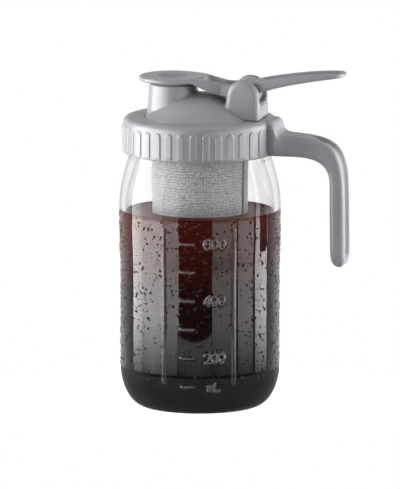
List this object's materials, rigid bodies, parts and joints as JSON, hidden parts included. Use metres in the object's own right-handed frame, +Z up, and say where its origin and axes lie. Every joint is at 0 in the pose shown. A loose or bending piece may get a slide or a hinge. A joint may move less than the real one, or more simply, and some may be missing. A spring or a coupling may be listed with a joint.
{
  "type": "cold brew coffee maker",
  "caption": "Wide-mouth glass jar with a screw lid that carries a side handle, a pouring spout and a rocking cap on a thumb lever, and a steel mesh basket hung in its mouth.",
  "frame": {"origin": "on the jar's axis, at the middle of the flat under its base", "axes": "+Z up along the jar's axis; +X towards the handle; the spout points to -X; the scale on the glass faces -Y"},
  "size_m": [0.1393, 0.0977, 0.2054],
  "materials": {
    "glass": "clear, gloss",
    "grey_plastic": "satin",
    "silicone": "satin",
    "steel": "satin",
    "steel_mesh": "fine woven mesh"
  },
  "bodies": {
    "jar": {"glass_jar": "glass"},
    "basket": {"filter_flange": "steel", "filter_mesh": "steel_mesh", "filter_seam": "steel", "filter_cup": "steel"},
    "gasket": {"lid_gasket": "silicone"},
    "lid": {"lid_collar": "grey_plastic", "lid_dome": "grey_plastic"},
    "cap": {"rocking_cap": "grey_plastic", "spout_seal": "silicone"}
  },
  "joints": [
    {"name": "filter_lift", "type": "slide", "parent": "jar", "child": "basket", "axis": [0, 0, 1], "range_m": [0, 0.165]},
    {"name": "lid_rise", "type": "slide", "parent": "basket", "child": "gasket", "axis": [0, 0, 1], "range_m": [0, 0.00585]},
    {"name": "lid_turn", "type": "hinge", "parent": "gasket", "child": "lid", "pos_m": [0, 0, 0.165], "axis": [0, 0, 1], "range_deg": [0, 414]},
    {"name": "cap_rock", "type": "hinge", "parent": "lid", "child": "cap", "pos_m": [0.029, 0, 0.1904], "axis": [0, 1, 0], "range_deg": [0, 33]}
  ],
  "couplings": [
    {"joint": "lid_rise", "follows": "lid_turn", "m_per_rad": 0.00080851}
  ]
}
